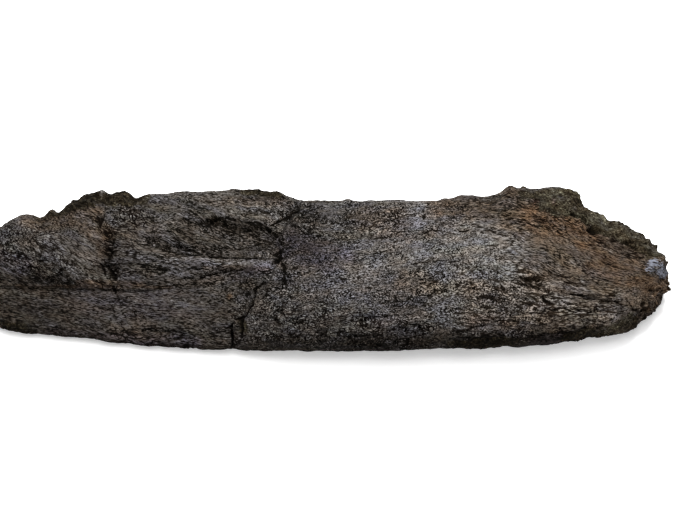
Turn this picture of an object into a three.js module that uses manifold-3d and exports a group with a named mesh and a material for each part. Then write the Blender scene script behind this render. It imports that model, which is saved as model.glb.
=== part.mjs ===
// Fossil triceratops frill section: one slab of fossil bone, broken at both ends and along
// its rear edge, lying on its inner side with the grooved outer face up.
// Units are millimetres, +Z is up, +X runs along the slab and +Y points to the broken rear edge.
// The origin is on the resting plane, under the middle of the slab's box.

import * as THREE from "three";
import { mergeVertices } from "three/addons/utils/BufferGeometryUtils.js";
import Module from "manifold-3d";

// Driving dimensions
const slabLength = 300;
const bellyCut = 3;         // how far the rounded belly hangs under the resting plane
const bellySquare = 2.4;    // how square the belly is, as for the shoulders below
const ringsAlong = 84;
const pointsAround = 44;
const evenSpacing = 0.8;    // 1 spaces the rings evenly, 0 crowds them at the ends as on a ball
const mergeWithin = 1e-3;

// Cross-sections along the slab. Each gives the crest's place and height, then for the rear and
// the front side where its edge is, how high that edge lies over the resting plane and how
// square the shoulder above it is (1 is a straight bevel, 2 is an ellipse).
const sections = [
  { x: -150, crest: [-1, 24], rear: [13, 15, 2.6], front: [-17, 6, 1.6] },
  { x: -141, crest: [0, 28], rear: [20.5, 15, 2.8], front: [-22.5, 5, 1.4] },
  { x: -132, crest: [1, 30], rear: [24, 15, 3], front: [-25, 5, 1.3] },
  { x: -116, crest: [3, 31], rear: [28, 15, 3], front: [-26.5, 5, 1.25] },
  { x: -104, crest: [6, 32], rear: [37.5, 15, 3.2], front: [-28, 5, 1.25] },
  { x: -84, crest: [7, 32], rear: [35.5, 15, 3.2], front: [-30.5, 5, 1.25] },
  { x: -62, crest: [7, 33], rear: [37, 15, 3.2], front: [-33.5, 5, 1.25] },
  { x: -40, crest: [6, 33], rear: [38.5, 15, 3.2], front: [-35, 6, 1.4] },
  { x: -28, crest: [4, 33], rear: [39, 15, 3.2], front: [-36.5, 9, 1.8] },
  { x: -12, crest: [0, 33], rear: [34.5, 15, 2.8], front: [-38.5, 13, 2.1] },
  { x: 20, crest: [-2, 34], rear: [33.5, 15, 2.6], front: [-39.5, 14, 2.2] },
  { x: 50, crest: [-2, 34], rear: [34, 15, 2.6], front: [-38, 14, 2.2] },
  { x: 82, crest: [-1, 33], rear: [41, 15, 2.8], front: [-37, 14, 2.2] },
  { x: 107, crest: [-1, 31], rear: [40, 15, 2.8], front: [-33.5, 13, 2.2] },
  { x: 115, crest: [-2, 30], rear: [28.5, 14, 2.8], front: [-31.5, 13, 2.2] },
  { x: 128, crest: [-4, 27], rear: [22.5, 13, 2.6], front: [-27.5, 12, 2.2] },
  { x: 140, crest: [-3, 23], rear: [15.5, 12, 2.4], front: [-18, 12, 2.2] },
  { x: 150, crest: [0, 18], rear: [6, 11, 2.2], front: [-7, 11, 2.2] },
];

// Over a short run at each end the section draws in to nothing, so the ends are blunt breaks.
const leftEndRun = 9;
const rightEndRun = 6;

// Long hollows and swellings of the outer face. Each follows a few points (x, y), is raised or
// sunk by "rise" at its middle and fades out over "reach" on both sides.
const reliefs = [
  {
    name: "rust_crease",
    path: [[-150, -13], [-115, -13], [-80, -14], [-58, -14], [-45, -11], [-26, -9]],
    rise: -2.6,
    reach: 4.5,
  },
  { name: "left_bulge", path: [[-142, 2], [-118, 3], [-106, 3]], rise: 1.6, reach: 12 },
  { name: "fracture", path: [[-98, 26], [-97, 14], [-93, 5], [-93, -9]], rise: -2, reach: 4 },
  { name: "trough", path: [[-79, 5], [-66, -1], [-42, -2]], rise: -3.2, reach: 5 },
  { name: "hollow", path: [[-54, 11], [-36, 9], [-22, 5]], rise: -3.4, reach: 7 },
  { name: "light_ridge", path: [[-90, 1], [-72, -4], [-40, -7], [-28, -8]], rise: 2, reach: 4 },
  { name: "right_hollow", path: [[60, 17], [96, 11], [126, 1]], rise: -2.6, reach: 11 },
  { name: "matrix_rim", path: [[98, 37], [110, 30], [124, 22], [138, 12]], rise: 2.6, reach: 6 },
];

const boneFinish = { color: 0x5a5551, roughness: 0.86, metalness: 0 };

const clampTo = (value, low, high) => Math.min(high, Math.max(low, value));

// Smooth value of one entry of the sections at any x, by a cubic through the neighbours.
function sectionValue(key, entry, x) {
  const last = sections.length - 2;
  let i = 0;
  while (i < last && x > sections[i + 1].x) i += 1;
  const from = sections[i];
  const to = sections[i + 1];
  const before = sections[Math.max(0, i - 1)];
  const after = sections[Math.min(last + 1, i + 2)];
  const span = to.x - from.x;
  const t = clampTo((x - from.x) / span, 0, 1);
  const start = from[key][entry];
  const end = to[key][entry];
  const startSlope = ((end - before[key][entry]) / (to.x - before.x)) * span;
  const endSlope = ((after[key][entry] - start) / (after.x - from.x)) * span;
  const cubic = 2 * (start - end) + startSlope + endSlope;
  const square = 3 * (end - start) - 2 * startSlope - endSlope;
  return ((cubic * t + square) * t + startSlope) * t + start;
}

// Share of the full section that is left at x, which falls to nothing at the two end points.
function endShare(x) {
  const fromLeft = (x + slabLength / 2) / leftEndRun;
  const fromRight = (slabLength / 2 - x) / rightEndRun;
  const inward = clampTo(Math.min(fromLeft, fromRight), 0, 1);
  return Math.sqrt(1 - (1 - inward) ** 2);
}

// One point of the section at x: the angle runs from the rear edge over the crest to the front,
// and back under the belly.
function sectionPoint(x, angle) {
  const side = Math.cos(angle) > 0 ? "rear" : "front";
  const crestPlace = sectionValue("crest", 0, x);
  const crestHeight = sectionValue("crest", 1, x);
  const edgePlace = sectionValue(side, 0, x);
  const edgeHeight = sectionValue(side, 1, x);
  const square = Math.sin(angle) > 0 ? sectionValue(side, 2, x) : bellySquare;
  const sideways = Math.abs(Math.cos(angle)) ** (2 / square);
  const upright = Math.abs(Math.sin(angle)) ** (2 / square);
  const farHeight = Math.sin(angle) > 0 ? crestHeight : -bellyCut;
  const core = crestHeight / 2;
  const fullHeight = edgeHeight + (farHeight - edgeHeight) * upright;
  const y = crestPlace + (edgePlace - crestPlace) * sideways * endShare(x);
  const z = core + (fullHeight - core) * endShare(x);
  return new THREE.Vector3(x, y, z);
}

// Closest distance from a plan point to a relief's path.
function pathDistance(path, x, y) {
  let nearest = Infinity;
  for (let i = 0; i < path.length - 1; i += 1) {
    const [ax, ay] = path[i];
    const [bx, by] = path[i + 1];
    const dx = bx - ax;
    const dy = by - ay;
    const t = clampTo(((x - ax) * dx + (y - ay) * dy) / (dx * dx + dy * dy), 0, 1);
    nearest = Math.min(nearest, Math.hypot(x - ax - t * dx, y - ay - t * dy));
  }
  return nearest;
}

function reliefAt(x, y) {
  let rise = 0;
  for (const relief of reliefs) {
    const away = pathDistance(relief.path, x, y) / relief.reach;
    rise += relief.rise * Math.exp(-away * away);
  }
  return rise;
}

// A sphere's rings become the cross-sections, and the reliefs are pressed into the upper side.
function slabGeometry() {
  const geometry = new THREE.SphereGeometry(1, pointsAround, ringsAlong);
  const place = geometry.attributes.position;
  const uv = geometry.attributes.uv;
  const reliefFrom = 14;    // heights between which the reliefs come in
  const reliefFull = 20;
  for (let i = 0; i < place.count; i += 1) {
    const along = uv.getY(i);
    const even = 2 * along - 1;
    const rounded = -Math.cos(Math.PI * along);
    const x = (slabLength / 2) * (evenSpacing * even + (1 - evenSpacing) * rounded);
    const point = sectionPoint(x, 2 * Math.PI * uv.getX(i));
    const onTop = clampTo((point.z - reliefFrom) / (reliefFull - reliefFrom), 0, 1);
    place.setXYZ(i, point.x, point.y, point.z + reliefAt(point.x, point.y) * onTop);
  }
  geometry.deleteAttribute("normal");
  geometry.deleteAttribute("uv");
  return mergeVertices(geometry, mergeWithin);
}

// A block under the resting plane takes the belly off and leaves the flat face it lies on.
function blockBelow() {
  const depth = 40;
  const block = new THREE.BoxGeometry(slabLength * 1.2, slabLength, depth);
  block.translate(0, 0, -depth / 2);
  block.deleteAttribute("normal");
  block.deleteAttribute("uv");
  return mergeVertices(block, mergeWithin);
}

const wasm = await Module();
wasm.setup();

function toSolid(geometry) {
  return new wasm.Manifold(new wasm.Mesh({
    numProp: 3,
    vertProperties: new Float32Array(geometry.attributes.position.array),
    triVerts: new Uint32Array(geometry.index.array),
  }));
}

function toGeometry(solid) {
  const mesh = solid.getMesh();
  const geometry = new THREE.BufferGeometry();
  geometry.setAttribute("position", new THREE.BufferAttribute(mesh.vertProperties, 3));
  geometry.setIndex(new THREE.BufferAttribute(mesh.triVerts, 1));
  geometry.computeVertexNormals();
  return geometry;
}

// The finished slab is moved the last fraction of a millimetre so that its box is centred.
function centred(geometry) {
  geometry.computeBoundingBox();
  const middle = geometry.boundingBox.getCenter(new THREE.Vector3());
  return geometry.translate(-middle.x, -middle.y, -geometry.boundingBox.min.z);
}

const slab = toSolid(slabGeometry()).subtract(toSolid(blockBelow()));
const bone = new THREE.MeshStandardMaterial(boneFinish);
const frillSection = new THREE.Mesh(centred(toGeometry(slab)), bone);
frillSection.name = "frill_section";

const part = new THREE.Group();
part.add(frillSection);

export default part;
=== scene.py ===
import math

import bmesh
import bpy
import numpy as np
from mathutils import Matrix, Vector, noise


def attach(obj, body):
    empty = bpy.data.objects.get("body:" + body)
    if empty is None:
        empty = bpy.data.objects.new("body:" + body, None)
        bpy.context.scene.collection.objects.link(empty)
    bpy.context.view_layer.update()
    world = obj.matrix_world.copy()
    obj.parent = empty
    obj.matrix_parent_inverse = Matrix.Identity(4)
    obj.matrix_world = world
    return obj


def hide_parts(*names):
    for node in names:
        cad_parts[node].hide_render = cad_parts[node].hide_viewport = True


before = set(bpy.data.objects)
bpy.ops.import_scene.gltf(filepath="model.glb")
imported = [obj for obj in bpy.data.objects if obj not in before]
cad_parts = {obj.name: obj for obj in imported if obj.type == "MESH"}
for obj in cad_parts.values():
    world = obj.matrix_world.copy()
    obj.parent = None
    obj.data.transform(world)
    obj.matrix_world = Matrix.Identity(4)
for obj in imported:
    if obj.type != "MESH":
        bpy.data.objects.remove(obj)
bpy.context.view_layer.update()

scene = bpy.context.scene
mm = 0.001

# The slab is drawn on from a leaning board: "up" runs up the board and "out" comes square out of
# it. Places on the slab's face are (along, up) in mm on that board.
lean = math.radians(52)
alongWay = np.array([1.0, 0, 0])
upWay = np.array([0, math.sin(lean), math.cos(lean)])
outWay = np.array([0, -math.cos(lean), math.sin(lean)])

octaveFade = 0.9            # how fast the finer octaves of a noise weaken
octaveStep = 2.1            # how much finer each one is
lineStep = 0.5              # mm between the points of a line drawn on the board


def smooth(value, low, high):
    # 0 below "low", 1 above "high", eased between
    share = np.clip((value - low) / (high - low), 0, 1)
    return share * share * (3 - 2 * share)


def waves(places, size, octaves=1, shift=0.0):
    # soft noise from about -1 to 1, with lumps of the given size in mm along the three axes
    scaled = places / np.array(size) + shift
    if octaves == 1:
        return np.array([noise.noise(p) for p in scaled.tolist()])
    return np.array([noise.fractal(p, octaveFade, octaveStep, octaves) for p in scaled.tolist()])


def worms(places, size, shift=0.0):
    # short wandering lines, 1 on a line and 0 away from it
    line = 1 - smooth(np.abs(waves(places, size, 2, shift)), 0.03, 0.17)
    return line * smooth(waves(places, [s * 1.3 for s in size], 1, shift + 9.1), -0.05, 0.2)


def plates(places, size, shift=0.0):
    # scattered plates: how far each point is inside its plate, its plate's level from 0 to 1, and
    # its place across the plate
    scaled = places / np.array(size) + shift
    inside, level, across = [], [], []
    for place in scaled.tolist():
        distances, seeds = noise.voronoi(place)
        inside.append(distances[1] - distances[0])
        level.append(0.5 + 0.5 * noise.cell(seeds[0] * 7.7))
        across.append(place[1] - seeds[0][1])
    return np.array(inside), np.array(level), np.array(across)


def trace(points, jag=0.0, seed=0):
    # a line on the board, made ragged by "jag" mm in steps of 4 mm and finer, and how far each of
    # its points is along it, from 0 to 1
    corners = np.array(points, dtype=float)
    lengths = np.linalg.norm(np.diff(corners, axis=0), axis=1)
    travelled = np.concatenate([[0], np.cumsum(lengths)])
    steps = np.arange(0, travelled[-1], lineStep)
    line = np.stack([np.interp(steps, travelled, corners[:, i]) for i in (0, 1)], axis=1)
    for i in (0, 1):
        line[:, i] += [jag * noise.fractal((s / 4, seed + 7.3 * i, 0.5), 0.5, 2.3, 4) for s in steps]
    return line, steps / travelled[-1]


def taper(share, number):
    # 1 along a line, easing to 0 at both its ends
    return smooth(share[number], -0.02, 0.15) * (1 - smooth(share[number], 0.8, 1.02))


# The blank: the frame's slab, merged and remeshed fine, with its points closer across the fibres

blank = {
    "merge": 0.01,          # mm, points of the CAD mesh closer than this become one
    "softening": 4,         # rounds of smoothing of the CAD mesh
    "flat": 0.6,            # mm, points lower than this stay on the flat underside
    "voxel": 0.6,           # mm between neighbouring points across the fibres
    "squeeze": 0.7,         # that distance as a share of the one along the fibres
    "under": 0.3,           # mm, faces lower than this are thinned
    "keep": 0.76,           # share of the faces left after that
}


def applyModifiers(piece):
    graph = bpy.context.evaluated_depsgraph_get()
    done = bpy.data.meshes.new_from_object(piece.evaluated_get(graph), depsgraph=graph)
    piece.modifiers.clear()
    piece.data = done


def stretchAlong(mesh, share):
    shape = bmesh.new()
    shape.from_mesh(mesh)
    bmesh.ops.scale(shape, vec=(share, 1, 1), verts=shape.verts)
    shape.to_mesh(mesh)
    shape.free()


def softCopy(source):
    # a merged copy of the CAD mesh, softened everywhere but on its flat underside
    mesh = source.copy()
    shape = bmesh.new()
    shape.from_mesh(mesh)
    bmesh.ops.remove_doubles(shape, verts=shape.verts, dist=blank["merge"] * mm)
    bmesh.ops.subdivide_edges(shape, edges=shape.edges, cuts=1, use_grid_fill=True, smooth=0.6)
    raised = [v for v in shape.verts if v.co.z > blank["flat"] * mm]
    everyWay = {"use_axis_x": True, "use_axis_y": True, "use_axis_z": True}
    for _ in range(blank["softening"]):
        bmesh.ops.smooth_vert(shape, verts=raised, factor=0.5, **everyWay)
    shape.to_mesh(mesh)
    shape.free()
    mesh.materials.clear()
    return mesh


def makeBlank():
    mesh = softCopy(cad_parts["frill_section"].data)
    stretchAlong(mesh, blank["squeeze"])
    piece = bpy.data.objects.new("frill_bone", mesh)
    scene.collection.objects.link(piece)
    remesh = piece.modifiers.new("remesh", "REMESH")
    remesh.mode = "VOXEL"
    remesh.voxel_size = blank["voxel"] * mm
    applyModifiers(piece)
    stretchAlong(piece.data, 1 / blank["squeeze"])
    low = [v.index for v in piece.data.vertices if v.co.z < blank["under"] * mm]
    piece.vertex_groups.new(name="under").add(low, 1.0, "REPLACE")
    thin = piece.modifiers.new("thin", "DECIMATE")
    thin.vertex_group = "under"
    thin.ratio = blank["keep"]
    applyModifiers(piece)
    piece.vertex_groups.clear()
    return piece


# The carving: fields worked out on the blank, then every point is moved once

class Carving:
    def __init__(self, piece):
        self.mesh = piece.data
        count = len(self.mesh.vertices)
        spots = np.empty(count * 3)
        facing = np.empty(count * 3)
        self.mesh.vertices.foreach_get("co", spots)
        self.mesh.vertex_normals.foreach_get("vector", facing)
        self.places = spots.reshape(-1, 3) / mm
        self.normals = facing.reshape(-1, 3)
        self.board = np.stack([self.places[:, 0], self.places @ upWay], axis=1)
        self.height = self.places[:, 2]
        self.front = smooth(self.normals @ outWay, -0.15, 0.15)     # 1 on what faces off the board
        self.rise = np.zeros(count)                                 # mm, out of the surface
        self.zones = {}

    def beside(self, line, reach):
        # distance of every point from a line on the board, its side of it (1 left of the walk and
        # -1 right of it), and the number of the line's nearest point
        ways = np.gradient(line, axis=0)
        low = line.min(axis=0) - reach
        high = line.max(axis=0) + reach
        near = np.all((self.board > low) & (self.board < high), axis=1)
        distance = np.full(len(self.board), 1e3)
        side = np.ones(len(self.board))
        nearest = np.zeros(len(self.board), dtype=int)
        for chunk in np.array_split(near.nonzero()[0], max(1, near.sum() // 4000)):
            offsets = self.board[chunk, None] - line[None]
            gaps = np.linalg.norm(offsets, axis=2)
            number = gaps.argmin(axis=1)
            offset = offsets[np.arange(len(chunk)), number]
            way = ways[number]
            distance[chunk] = gaps.min(axis=1)
            side[chunk] = np.where(way[:, 0] * offset[:, 1] > way[:, 1] * offset[:, 0], 1, -1)
            nearest[chunk] = number
        return distance, side, nearest

    def brush(self, points, core, edge):
        # soft stroke along board places: 1 within "core" mm of the line, 0 from "edge" mm on
        corners = np.array(points if len(points) > 1 else points * 2, dtype=float)
        nearest = np.full(len(self.board), 1e3)
        for start, end in zip(corners[:-1], corners[1:]):
            run = end - start
            share = np.clip(((self.board - start) @ run) / max(run @ run, 1e-9), 0, 1)
            nearest = np.minimum(nearest, np.linalg.norm(self.board - start - share[:, None] * run, axis=1))
        return (1 - smooth(nearest, core, edge)) * self.front

    def keep(self, name, values):
        layer = self.mesh.attributes.new(name, "FLOAT", "POINT")
        layer.data.foreach_set("value", values.astype(np.float32))

    def finish(self):
        spots = self.places + self.rise[:, None] * self.normals
        spots[:, 2] = np.maximum(spots[:, 2], 0)
        self.mesh.vertices.foreach_set("co", (spots * mm).ravel())
        self.mesh.update()


# Fibres run along the slab and turn at its breaks. A grain place is (along, across, deep), and
# lines of equal "across" follow the fibres.

fibreRun = {
    "leftBreak": -94,       # the left block ends here
    "rightBreak": [(-40, -26), (-40, -19), (-31, -4), (-23, 4.5), (-20, 14), (-20, 22), (-11, 37), (-8, 46)],
    "crease": 1.2,          # height of the crease under the two left blocks
    "trough": [(-94, 24), (-76, 21), (-65, 16.6), (-46, 14.2), (-21, 13)],
    "leftFall": 0.5,        # mm of fall for each mm along
    "leftFallBelow": 0.2,
    "middleFall": 0.33,
    "middleFallBelow": 0.12,
    # how high one fibre of the right block lies along the slab, and the heights between which the
    # others come to bend as it does
    "rightFibre": [(-40, 0), (16, 0), (32, 1.5), (48, 4.4), (66, 6.4), (80, 5.6), (94, 1.4),
                   (114, -8), (150, -24)],
    "rightBend": (-12, 16),
    "leastBend": 0.1,
    "rightShift": 60,       # mm, so that the right block's pattern doesn't go on from the middle's
}


def grainPlaces(c):
    run = fibreRun
    along, up = c.board[:, 0], c.board[:, 1]
    below = up < run["crease"]
    troughHeight = np.interp(along, *zip(*run["trough"]))
    breakPlace = np.interp(up, *[[spot[i] for spot in run["rightBreak"]] for i in (1, 0)])
    fromBreak = along - run["leftBreak"]
    across = up + np.where(below, run["leftFallBelow"], run["leftFall"]) * fromBreak
    middle = np.where(up < troughHeight, run["middleFallBelow"], run["middleFall"])
    across = np.where(along > run["leftBreak"], up + middle * fromBreak, across)
    height = np.interp(along, *zip(*run["rightFibre"]))
    bend = run["leastBend"] + (1 - run["leastBend"]) * smooth(up, *run["rightBend"])
    across = np.where(along > breakPlace, up + run["rightShift"] - bend * height, across)
    return np.stack([along, across, c.places @ outWay], axis=1)


# Colour and texture zones, with painted light and painted shade, as strokes along board places: (core, edge,
# strength, places)

zones = {}
zones["matrix"] = [
    (4.2, 6.2, 1, (104, 40), (112, 36), (120, 30), (128, 27), (136, 22), (141, 18)),
    (2.5, 6, 0.8, (96, 38), (103, 35)),
    (1, 3.5, 0.9, (86, 41), (97, 42.5), (104, 42)),
    (2, 4, 1, (-124, 33), (-115, 34.6), (-109, 37)),
    (4, 6.4, 1, (-107, 39.5), (-98, 42), (-90, 41), (-82, 40.5)),
    (1.4, 3, 1, (-36, 43.5), (-28, 43.5), (-20, 41.5)),
    (1.5, 6, 0.6, (-146, -13), (-137, -17), (-128, -19)),
    (1.2, 4, 0.8, (54, -24), (68, -24), (80, -22)),
    (1.5, 5, 0.9, (103, -22), (115, -20), (126, -16), (131, -13)),
    (1, 3.5, 0.5, (-36, -13), (-34.5, -17)),
]
zones["rust"] = [
    (0.4, 2, 0.7, (-106, 3), (-92, 2.6), (-78, 2)),
    (0.1, 1.2, 0.5, (-133, 1.4), (-110, 1.1), (-66, 0.9)),
    (0.6, 4, 0.35, (-93, 24), (-96, 18), (-96, 13)),
    (2, 9, 0.6, (90, 31), (100, 28), (108, 28), (113, 22)),
    (0.3, 1.8, 1, (-41, -3)),
    (3, 9, 0.35, (118, 12), (132, 6), (143, 2)),
]
zones["tan"] = [
    (6, 15, 1, (84, 34), (100, 26), (114, 18), (126, 11), (136, 6), (145, 2)),
    (3, 10, 0.8, (100, 14), (120, 4), (138, -2)),
    (2, 8, 0.9, (50, 35), (66, 35), (84, 36)),
    (3, 9, 0.6, (18, 31), (30, 29)),
    (1.4, 4, 0.8, (-130, 28), (-118, 29.5), (-105, 32.5), (-99, 33)),
    (2, 7, 0.4, (-86, 26), (-74, 24)),
    (0.8, 3, 0.6, (-44, 38), (-28, 38.5), (-16, 37.5)),
    (0.4, 1.6, 0.6, (-52, 9), (-38, 9.4), (-24, 8.4)),
    (0.8, 2, 1, (120.6, 25.4), (122, 24.4)),
    (2, 9, 0.5, (58, 2), (70, -4), (84, -10)),
    (1, 7, 0.5, (34, 3), (46, 1)),
    (1, 4, 0.6, (45, 24)),
    (1, 5, 0.5, (-90, -17), (-80, -19)),
    (6, 13, 0.6, (92, 8), (112, 5), (140, -2)),
    (5, 10, 0.6, (66, -10), (98, -12), (128, -9)),
    (2.5, 6, 0.8, (-128, 30), (-106, 31), (-97, 24)),
]
zones["purple"] = [
    (3, 10, 0.8, (-14, 19), (-4, 15), (6, 13)),
    (1, 4, 0.7, (-25, 9), (-38, 6)),
    (1, 4, 0.8, (-120, -19), (-85, -21), (-55, -23)),
    (2, 6, 0.8, (-139, 12), (-130, 10)),
    (1.5, 4, 1, (88, -24), (100, -21)),
    (1, 6, 0.3, (64, -14), (74, -13)),
    (1, 7, 0.5, (22, -13), (30, -15)),
    (4, 10, 0.35, (-104, -5), (-60, -7)),
    (3, 8, 0.15, (-78, 7), (-50, 9), (-24, 10)),
    (7, 16, 0.2, (-14, 6), (0, 4), (20, 0), (30, -10)),
    (5, 13, 0.2, (30, 26), (48, 28)),
]
# painted light: strokes that lighten the tone where light falls fuller on the slab, with a painted sheen on
# its lit middle, and where the bone is paler
zones["light"] = [
    (5, 18, 0.8, (10, 10), (32, 14), (57, 17), (78, 15)),
    (3, 9, 0.7, (46, 26), (62, 25)),
    (0.6, 2.4, 0.6, (-62, 13.8), (-50, 12.6), (-39, 11.6), (-21, 9.4)),
    (1.5, 7, 0.25, (-66, 34), (-46, 35), (-30, 34)),
    (3, 9, 0.4, (-122, 15), (-108, 13), (-100, 9)),
    (2, 7, 0.5, (8, 31), (22, 33), (32, 28)),
    (3, 9, 0.75, (92, -3), (108, -6), (122, -8)),
    (4, 11, 0.5, (50, -8), (70, -12), (90, -12)),
    (4, 9, 0.5, (46, 6), (66, 5), (92, 5), (114, 0)),
    (1.5, 4, 1, (62, 7), (68, 4)),
    (3, 7, 0.6, (118, 0), (138, -3)),
    (5, 11, 0.65, (26, 31), (44, 28), (56, 20), (64, 12)),
    (4, 9, 0.35, (-18, -10), (10, -13), (44, -14)),
    (3, 7, 0.5, (92, -13), (110, -13), (124, -11)),
    (3, 7, 0.9, (126, -5), (136, -6), (145, -3)),
    (2, 5, 1, (140, -7), (146, -3)),
    (3, 7, 0.5, (76, 9), (92, 9), (106, 6)),
    (3, 7, 0.7, (58, 8), (70, 4), (80, 0)),
    (1, 3.5, 1.1, (82, 7), (92, 7.2)),
    (1.5, 5, 1, (107, -12), (113, -12.6)),
    (1.5, 5, 1, (50, 14.4), (58, 13.8)),
    (1, 5, 0.9, (37, 22.4), (43, 23)),
    (1, 4, 0.7, (122, -18.6), (127, -18.4)),
    (1, 3.5, 0.8, (116, 32), (121, 29.6)),
    (1.5, 4.5, 0.5, (-76, 17.4), (-62, 15), (-46, 15.2)),
    (5, 10, 0.95, (44, 17), (80, 17)),
    (4, 9, 0.25, (102, 13), (132, 9)),
    (1.5, 5, 0.6, (-4, -19.6), (14, -21)),
]
# painted shade: strokes that darken the tone in troughs, under overhangs, on the lower facets and along the
# lower edge, and where the bone is darker
zones["shade"] = [
    (1.5, 4.4, 0.8, (-56, 3), (-40, 4.6), (-28, 6.4)),
    (1.5, 5, 0.8, (-16, 13), (-11, 18)),
    (2, 5, 0.5, (-90, 13), (-80, 10), (-68, 8)),
    (2, 6, 0.5, (-124, 27), (-108, 27), (-98, 30)),
    (2, 6, 0.3, (76, 22), (92, 24), (100, 20)),
    (0.8, 3.6, 0.9, (107, 28), (120, 21.4), (132, 16), (138, 13)),
    (1, 3, 0.9, (-38, -16), (-37.4, -24)),
    (1.5, 4.5, 0.7, (-100, -18), (-70, -21), (-48, -22)),
    (1, 4, 0.7, (-66, 27), (-58, 26)),
    (1, 5, 0.6, (-90, 30), (-82, 29)),
    (2, 6, 0.3, (8, 25), (20, 14)),
    (0.5, 3, 0.7, (-148, 1.6), (-110, 1), (-80, 0.6)),
    (1.5, 4.5, 1, (-130, -21), (-92, -24), (-60, -26), (-20, -28), (30, -29)),
    (1, 5, 0.5, (-92, 23), (-78, 17), (-70, 14)),
    (2, 7, 0.95, (-60, 21), (-45, 21), (-26, 20)),
    (0.6, 3.4, 1, (-76, 21), (-65, 17), (-46, 15), (-35, 14.4)),
    (1.5, 5, 1.2, (-50, 28), (-38, 27), (-28, 25)),
    (1, 4, 1.1, (-38, 26), (-29, 24.6), (-23, 21)),
    (3, 7, 0.5, (-60, 27), (-40, 25), (-26, 22)),
    (0.5, 3, 0.6, (-62, 28.6), (-52, 29)),
    (1.5, 6, 0.8, (-96, 26), (-94, 18), (-95, 8)),
    (1, 3, 0.8, (-97, 36), (-95, 34)),
    (0.8, 2.6, 0.9, (-91, -3), (-86, -9), (-81, -15)),
    (3, 12, 0.15, (-130, 24), (-112, 16), (-104, 8)),
    (3, 7, 1.5, (-122, 34), (-110, 37), (-98, 42), (-84, 41)),
    (2, 4, 0.8, (-36, 42), (-20, 41)),
    (0.8, 4, 0.9, (-139, 4.5), (-124, 3.5), (-110, 4)),
    (0.1, 1.3, 1, (-148, 0.9), (-110, 0.2), (-80, -0.4), (-56, 0.4)),
    (8, 13, 1.15, (-148, -8), (-100, -8)),
    (8, 13, 0.8, (-100, -8), (-74, -9), (-48, -9)),
    (3, 8, 0.5, (-44, 3), (-26, 3.4), (-14, 8)),
    (3, 8, 0.5, (96, 30), (106, 26), (114, 20)),
    (4, 12, 0.6, (92, 14), (112, 10), (134, 4)),
    (2, 10, 1, (-20, -26), (40, -28), (90, -26), (112, -23)),
    (1, 5, 0.9, (-130, -20), (-80, -24), (-40, -27), (-20, -27)),
    (3.5, 6.5, 1, (40, -27), (76, -26), (92, -24.5), (108, -22)),
    (2, 6, 0.8, (-20, -24), (20, -25), (50, -24)),
    (3, 7, 0.6, (54, 34), (72, 37), (90, 40)),
    (4, 14, 0.15, (-30, -6), (-18, -14), (0, -18), (30, -20)),
    (1, 5, 0.5, (-30, 5), (-20, 6), (-18, 18)),
    (2, 8, 0.5, (-12, 34), (-2, 31)),
    (3, 12, 1.25, (-14, 20), (-4, 16), (2, 14)),
    (3, 8, 0.5, (-80, 33), (-60, 34)),
    (1, 3.5, 0.7, (-100, 7), (-96, 5)),
    (1, 4, 0.8, (-141, 12), (-137, 10)),
    (1.5, 4, 0.8, (-37, -14), (-34, -22), (-28, -23)),
    (1, 4, 0.8, (99, 0), (103, -1.6)),
    (4, 9, 0.3, (8, 31), (32, 29)),
    (6, 12, 0.2, (6, 10), (38, 8)),
    (1.5, 5, 1, (107, -4), (115, -6)),
    (1, 4, 0.7, (124, -5), (129, -6.4)),
    (1, 4, 0.7, (138, -10.6), (142, -10)),
    (1, 4, 0.7, (74, -15.5), (96, -16.5)),
    (2, 6, 0.7, (31, -6.4), (38, -7)),
    (2, 7, 0.8, (10, 16), (13, 14)),
    (1, 3.5, 0.9, (108, 36.6), (111.6, 35.8)),
    (1, 4, 0.8, (-53, 33), (-49, 33.2)),
    (1.5, 5, 0.8, (-110, 21), (-108, 19.6)),
    (1, 4, 0.8, (-5, 38), (-1, 37.6)),
    (1, 4, 0.7, (-58, 10.2), (-55, 10.4)),
    (1.2, 4, 1.5, (80, -20.6), (92, -20.4), (102, -19)),
]
zones["pitted"] = [
    (4, 11, 0.45, (-137, 24), (-128, 14), (-114, 6)),
    (0.8, 3.5, 0.8, (-131, 10), (-122, 5), (-114, 2.6)),
    (1.5, 5, 1, (-90, 32), (-84, 34), (-80, 29)),
    (1.5, 4, 0.7, (-58, 35), (-52, 33), (-49, 30)),
    (0.8, 3, 0.6, (-60, 29), (-54, 28.5), (-48, 29)),
    (0.6, 3, 1, (-76, 21), (-66, 17), (-56, 16), (-44, 14.6)),
    (0.8, 3.5, 0.6, (-94, 23), (-92, 19), (-93, 14), (-91, 7)),
    (3, 9, 0.8, (-14, 34), (-6, 30)),
    (3, 10, 0.75, (12, 33), (30, 31)),
    (4, 11, 0.75, (-22, -12), (-10, -14), (10, -18), (40, -20)),
    (1, 6, 1, (56, -22), (72, -24)),
    (3, 10, 0.3, (66, -2), (76, -5)),
    (1.5, 6, 0.8, (-87, -17), (-76, -20), (-60, -22)),
    (1.5, 5, 0.4, (84, 6), (92, 1), (95, -5)),
]
zones["speckled"] = [
    (4, 10, 0.7, (-139, 22), (-128, 15), (-114, 8)),
    (3, 7, 0.7, (-92, 32), (-82, 32)),
    (8, 16, 1, (-14, 32), (20, 30), (50, 28)),
    (12, 22, 1, (-12, 8), (20, 8), (60, 6)),
    (10, 18, 1, (-20, -16), (30, -16), (80, -12)),
]
zones["smoothed"] = [
    (7, 10, 1, (-148, -6), (-100, -7), (-66, -8), (-46, -8)),
    (2, 9, 0.6, (-106, 16), (-100, 10)),
    (4, 11, 0.7, (96, 18), (116, 12), (136, 6)),
    (4, 10, 0.5, (60, 17), (82, 14)),
    (3, 9, 0.4, (-10, 16), (2, 14)),
    (4, 9, 0.5, (96, -2), (112, -5), (130, -6)),
    (0.6, 2.4, 0.7, (-62, 13.8), (-50, 12.6), (-39, 11.6), (-21, 9.4)),
]
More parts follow.
